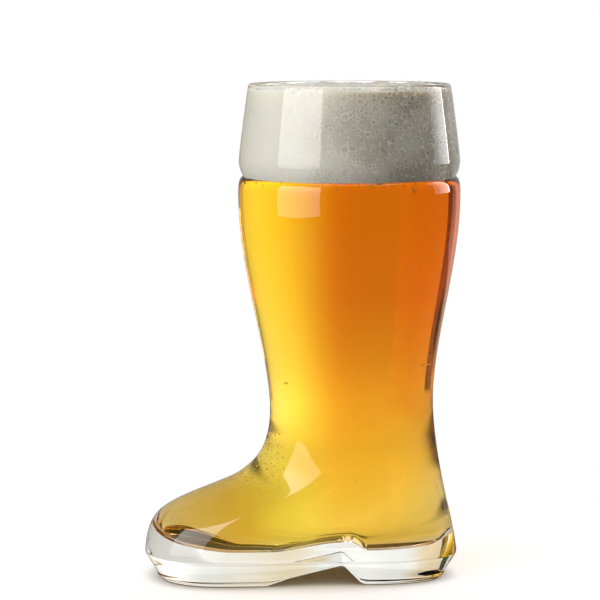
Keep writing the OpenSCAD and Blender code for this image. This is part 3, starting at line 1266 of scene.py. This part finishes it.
@dataclass(frozen=True)
class Sweep:
    """The glow of the white sweep, on the screen and on the floor that runs up to it.

    It is dimmer and warmer to the left, brighter at its foot and dim in mirrors. A name ending in
    _x or _z holds where, in metres, a change begins and ends.
    """

    glow_x: tuple = (-0.02, 0.22)
    glow: tuple = (0.95, 1.42)
    foot_z: tuple = (0.0, 0.12)
    foot_gain: float = 1.2
    mirrored_gain: float = 0.3
    warm_x: tuple = (-0.02, -0.16)
    warm: tuple = (0.92, 0.76, 0.52, 1.0)

    def light(self, nodes: Nodes, x: Socket, z: Socket) -> Socket:
        """Lays out the sweep's light.

        Args:
            nodes: the sheet of the material it belongs to.
            x: the place from left to right.
            z: the height.

        Returns:
            The light.
        """
        mirrored = nodes.rays(Ray.REFLECTION)[0]
        glow = nodes.times(nodes.spread(x, *self.glow_x, *self.glow),
                           nodes.spread(z, *self.foot_z, self.foot_gain, 1.0),
                           nodes.spread(mirrored, 0.0, 1.0, 1.0, self.mirrored_gain))
        return nodes.glow(glow, nodes.blend(nodes.spread(x, *self.warm_x), WHITE, self.warm))


@dataclass(frozen=True)
class Floor:
    """The pale floor, which keeps the glass's shadow, with painted shade close under the glass, and runs
    into the white backdrop.

    It lies a hair under the sole, whose underside then mirrors as it does over air. A name ending
    in _x, _y or _away holds where, in metres, a change begins and ends.
    """

    sweep: Sweep
    half_side: float = 6.0
    gap: float = 0.0002
    painted_contact_shade: tuple = (0.12, 0.09, 0.055, 1.0)
    contact_reach: float = 0.035
    contact_open: tuple = (0.05, 0.6)
    contact_through: float = 0.7
    contact_away: tuple = (0.1, 0.16)
    left_zone_x: tuple = (-0.11, -0.05)
    right_zone_x: tuple = (0.11, 0.15)
    zone_near_y: tuple = (0.05, 0.09)
    zone_far_y: tuple = (0.17, 0.26)
    zone_away: tuple = (0.26, 0.32)
    zone_depth: float = 0.95
    patch_mm: tuple = (17.0, 70.0, 0.0)
    patch_reach_mm: tuple = (19.0, 20.0, 1000.0)
    patch_fade: tuple = (0.25, 1.05)
    patch_depth: float = 0.8
    painted_light_x: tuple = (0.03, 0.16)
    painted_light_gain: float = 1.35
    near_y: tuple = (0.04, 0.16)
    near_painted_shade_gain: float = 0.86
    mirrored_dark: float = 0.85
    dulled: float = 0.1
    camera_lift: float = 0.3
    through_lift: float = 0.2
    back_y: tuple = (0.1, 0.36)
    white_away: tuple = (0.085, 0.22)
    open_away: tuple = (0.6, 0.9)

    def contact_shade(self, nodes: Nodes, away: Socket, through: Socket) -> Socket:
        """Paints shade on the floor close under the glass, darkest where the glass is nearest.

        Args:
            nodes: the floor's sheet.
            away: the distance from the glass's middle.
            through: whether the ray has come through the glass.

        Returns:
            The floor's colour, with the painted shade.
        """
        near_glass = nodes.add("ShaderNodeAmbientOcclusion", {"Distance": self.contact_reach}, samples=12)
        openness = nodes.spread(near_glass.outputs["AO"], *self.contact_open, smooth=False)
        openness = nodes.math("ADD", openness, nodes.times(through, self.contact_through), clamp=True)
        openness = nodes.math("MAXIMUM", openness, nodes.spread(away, *self.contact_away))
        return nodes.blend(openness, self.painted_contact_shade, WHITE)

    def painted_shade_zones(self, nodes: Nodes, x: Socket, y: Socket, away: Socket) -> Socket:
        """Lays out painted shade on the floor behind toe and heel, which the glass bends into view.

        Args:
            nodes: the floor's sheet.
            x: the place from left to right.
            y: the place from front to back.
            away: the distance from the glass's middle.

        Returns:
            How much the zones take from the floor's level.
        """
        sides = nodes.math("ADD", nodes.spread(x, *self.left_zone_x, 1.0, 0.0),
                           nodes.spread(x, *self.right_zone_x))
        deep = nodes.times(nodes.spread(y, *self.zone_near_y),
                           nodes.spread(y, *self.zone_far_y, self.zone_depth, 0.0))
        return nodes.times(sides, deep, nodes.spread(away, *self.zone_away, 1.0, 0.0))

    def painted_shadow_patch(self, nodes: Nodes, place: Socket) -> Socket:
        """Lays out the painted shadow, a soft dark patch, behind the heel.

        Args:
            nodes: the floor's sheet.
            place: the place on the floor.

        Returns:
            How much the patch takes from the floor's level.
        """
        centre, reach = (Vector(size) * MM for size in (self.patch_mm, self.patch_reach_mm))
        place = nodes.vector("DIVIDE", nodes.vector("SUBTRACT", place, centre), reach)
        return nodes.spread(nodes.vector("LENGTH", place), *self.patch_fade, self.patch_depth, 0.0)

    def build(self) -> None:
        """Lays the floor, whose level varies only where it is seen through the glass, with painted light
        and shade.
        """
        h, z = self.half_side, -self.gap
        _, nodes = stage_sheet("floor", "pale_floor", [(-h, -h, z), (h, -h, z), (h, h, z), (-h, h, z)])
        place = nodes.place()
        away = nodes.vector("LENGTH", place)
        x, y, z = nodes.parts(place)
        camera, through, mirrored = nodes.rays(Ray.CAMERA, Ray.TRANSMISSION, Ray.REFLECTION)
        # Painted light and shade, seen only through the glass: brighter to the right, dimmer close behind
        # the glass, darker in the painted shade zones and the painted shadow patch.
        dark = nodes.math("MAXIMUM", self.painted_shade_zones(nodes, x, y, away), self.painted_shadow_patch(nodes, place))
        level = nodes.times(nodes.spread(x, *self.painted_light_x, 1.0, self.painted_light_gain),
                            nodes.spread(y, *self.near_y, self.near_painted_shade_gain, 1.0))
        level = nodes.math("SUBTRACT", level, dark)
        level = nodes.add("ShaderNodeCombineColor", {0: level, 1: level, 2: level}).outputs[0]
        shade = nodes.vector("MULTIPLY", self.contact_shade(nodes, away, through),
                             nodes.blend(through, WHITE, level))
        shade = nodes.blend(nodes.times(mirrored, self.mirrored_dark), shade, BLACK)
        matt = nodes.add("ShaderNodeBsdfDiffuse", {"Color": nodes.blend(self.dulled, shade, BLACK)})
        lift = nodes.math("ADD", nodes.times(camera, self.camera_lift),
                          nodes.times(through, self.through_lift))
        near = nodes.add("ShaderNodeAddShader", {0: matt.outputs[0], 1: nodes.glow(lift, shade)}).outputs[0]
        back = nodes.times(nodes.spread(y, *self.back_y), through)
        near = nodes.either(back, near, self.sweep.light(nodes, x, z))
        beyond = nodes.either(camera, nodes.see_through(), nodes.glow(1.0))
        far = nodes.math("MAXIMUM", nodes.times(nodes.spread(away, *self.white_away), camera),
                         nodes.spread(away, *self.open_away))
        nodes.finish(nodes.either(far, near, beyond))


@dataclass(frozen=True)
class Studio:
    """A white sweep under a large soft light, with a camera at the picture's place.

    Places and heights are in metres and turns in degrees from the camera's side, unless a name
    says otherwise. The panels light the glass, but the camera doesn't see them.
    """

    camera_mm: tuple = (-0.3, -1060.0, 236.5)
    camera_down: float = 6.49
    lens: float = 153.48
    clip_end: float = 20.0
    softbox_turn: float = 52.0
    softbox_away: float = 0.66
    softbox_sides: tuple = (-0.28, 0.32)
    softbox_heights: tuple = (0.04, 0.57)
    softbox_fade: tuple = (0.08, 0.5)
    softbox_glow: tuple = (2.4, 5.0)
    softbox_flag: tuple = (-0.74, -0.54)
    side_away: float = 0.55
    strip_turns: tuple = (94.0, 120.0)
    strip_heights: tuple = (0.15, 0.55)
    strip_y: tuple = (0.03, 0.23)
    strip_glow: tuple = (1.0, 3.8)
    strip_edge_y: tuple = (0.25, 0.26)
    strip_edge_glow: float = 6.0
    window_turns: tuple = (-104.0, -136.0)
    window_heights: tuple = (0.1, 0.5)
    window_glow: float = 0.6
    screen_away: float = 0.5
    screen_sides: tuple = (-0.32, 0.6)
    screen_height: float = 0.4
    ceiling_sides: tuple = (-0.3, 0.4)
    ceiling_depth: tuple = (-0.35, 0.45)
    ceiling_height: float = 0.75
    ceiling_glow: float = 2.15
    room_light: float = 0.05
    card_from: tuple = (-0.92, -0.86)
    card_to: tuple = (-0.66, -0.64)
    dark_above: tuple = (0.58, 0.66)
    dark_behind: tuple = (0.1, 0.3)
    sweep: Sweep = Sweep()

    def camera(self) -> None:
        """Sets the camera up."""
        data = bpy.data.cameras.new("camera")
        data.lens = self.lens
        data.clip_end = self.clip_end
        camera = bpy.data.objects.new("camera", data)
        camera.location = Vector(self.camera_mm) * MM
        camera.rotation_euler = (math.radians(90 - self.camera_down), 0, 0)
        bpy.context.scene.collection.objects.link(camera)
        bpy.context.scene.camera = camera

    def panel(self, name: str, corners: list) -> tuple:
        """Sets up a panel that the camera doesn't see.

        Args:
            name: the panel's name.
            corners: its four corners.

        Returns:
            The panel and the empty node sheet of its material.
        """
        panel, nodes = stage_sheet(name, name, corners)
        panel.visible_camera = False
        return panel, nodes

    def upright(self, name: str, feet: list, heights: tuple) -> tuple:
        """Stands up a panel.

        Args:
            name: the panel's name.
            feet: the points on the floor under its two ends.
            heights: the heights of its lower and upper edge.

        Returns:
            The panel and the empty node sheet of its material.
        """
        (a, b), (low, high) = feet, heights
        return self.panel(name, [(*a, low), (*b, low), (*b, high), (*a, high)])

    def beside(self, turns: tuple) -> list:
        """Returns the points on the floor beside the glass at some turns."""
        return [(math.sin(turn) * self.side_away, -math.cos(turn) * self.side_away)
                for turn in map(math.radians, turns)]

    def softbox(self) -> None:
        """Stands the softbox at the front left, dimmer towards its foot.

        Its outer part fades out for light that has come through the glass, whose heel stays dark.
        """
        turn = math.radians(self.softbox_turn)
        out = np.array((-math.sin(turn), -math.cos(turn))) * self.softbox_away
        across = np.array((-math.cos(turn), math.sin(turn)))
        feet = [out + across * side for side in self.softbox_sides]
        _, nodes = self.upright("softbox", feet, self.softbox_heights)
        x, _, z = nodes.parts(nodes.place())
        through = nodes.rays(Ray.TRANSMISSION)[0]
        flagged = nodes.times(nodes.spread(x, *self.softbox_flag, 1.0, 0.0), through)
        nodes.finish(nodes.glow(nodes.times(nodes.spread(z, *self.softbox_fade, *self.softbox_glow),
                                            nodes.math("SUBTRACT", 1.0, flagged))))

    def strip(self) -> None:
        """Stands the strip light at the right, a little behind, brightest at its far edge."""
        _, nodes = self.upright("strip", self.beside(self.strip_turns), self.strip_heights)
        _, y, _ = nodes.parts(nodes.place())
        glow = nodes.math("ADD", nodes.spread(y, *self.strip_y, *self.strip_glow),
                          nodes.spread(y, *self.strip_edge_y, 0.0, self.strip_edge_glow))
        nodes.finish(nodes.glow(glow))

    def window(self) -> None:
        """Stands the dim fill light at the left, which isn't mirrored."""
        window, nodes = self.upright("window", self.beside(self.window_turns), self.window_heights)
        window.visible_glossy = False
        window.visible_transmission = False
        nodes.finish(nodes.glow(self.window_glow))

    def screen(self) -> None:
        """Stands the lit white screen behind the glass."""
        feet = [(x, self.screen_away) for x in self.screen_sides]
        _, nodes = self.upright("screen", feet, (0, self.screen_height))
        x, _, z = nodes.parts(nodes.place())
        nodes.finish(self.sweep.light(nodes, x, z))

    def ceiling(self) -> None:
        """Hangs the soft fill light over the glass."""
        (left, right), (near, far), z = self.ceiling_sides, self.ceiling_depth, self.ceiling_height
        corners = [(left, near, z), (left, far, z), (right, far, z), (right, near, z)]
        _, nodes = self.panel("ceiling", corners)
        nodes.finish(nodes.glow(self.ceiling_glow))

    def world(self) -> None:
        """Leaves the room dim, and plain white where it is seen straight or through the glass.

        Light that comes through the glass also meets a dark card at the far left, between two
        turns in radians, and the dark of the room over the screen.
        """
        world = bpy.data.worlds.new("room")
        world.use_nodes = True
        bpy.context.scene.world = world
        nodes = Nodes(world.node_tree)
        camera, through = nodes.rays(Ray.CAMERA, Ray.TRANSMISSION)
        x, y, z = nodes.parts(nodes.add("ShaderNodeTexCoord").outputs["Generated"])
        turn = nodes.math("ARCTAN2", x, y)
        card = nodes.times(nodes.spread(turn, *self.card_from), nodes.spread(turn, *self.card_to, 1.0, 0.0))
        above = nodes.times(nodes.spread(z, *self.dark_above), nodes.spread(y, *self.dark_behind))
        dark = nodes.times(nodes.math("MAXIMUM", card, above), through)
        white = nodes.math("SUBTRACT", nodes.math("MAXIMUM", camera, through), dark)
        level = nodes.spread(white, 0.0, 1.0, self.room_light, 1.0)
        room = nodes.add("ShaderNodeBackground", {"Color": WHITE, "Strength": level})
        nodes.add("ShaderNodeOutputWorld", {"Surface": room.outputs[0]})

    def build(self) -> None:
        """Sets up the camera, lights, room and floor."""
        self.camera()
        self.softbox()
        self.screen()
        self.strip()
        self.window()
        self.ceiling()
        self.world()
        Floor(self.sweep).build()


def main() -> None:
    """Builds the glass, what it holds and the studio."""
    logging.basicConfig(level=logging.INFO, format="%(message)s")
    bpy.context.scene.view_settings.view_transform = "Standard"
    Studio().build()
    shape = BootShape()
    vessel = GlassVessel(shape)
    glass, amber = ClearGlassFinish(), AmberBeerFinish()
    wetted = replace(glass, name="wet_glass", ior=glass.ior / amber.ior, body_density=0.0)
    beer = BeerFill(vessel).build(amber)
    foam = FoamHead(shape).build(FoamFinish())
    gas = BubbleFinish().material()
    beds = [bed.build(beer, Part.BEER, Slot.AMBER_BEER, gas) for bed in gas_beds(shape)]
    froth = FoamFinish(name="foam_bubble", scatter_mm=0.4).material()
    beds.append(foam_bed(shape).build(foam, Part.FOAM, Slot.BEER_FOAM, froth))
    for piece in (vessel.build(glass, wetted), beer, foam, *beds):
        log.info("%s: %d points, %d faces", piece.name, len(piece.data.vertices), len(piece.data.polygons))


if __name__ == "__main__":
    main()
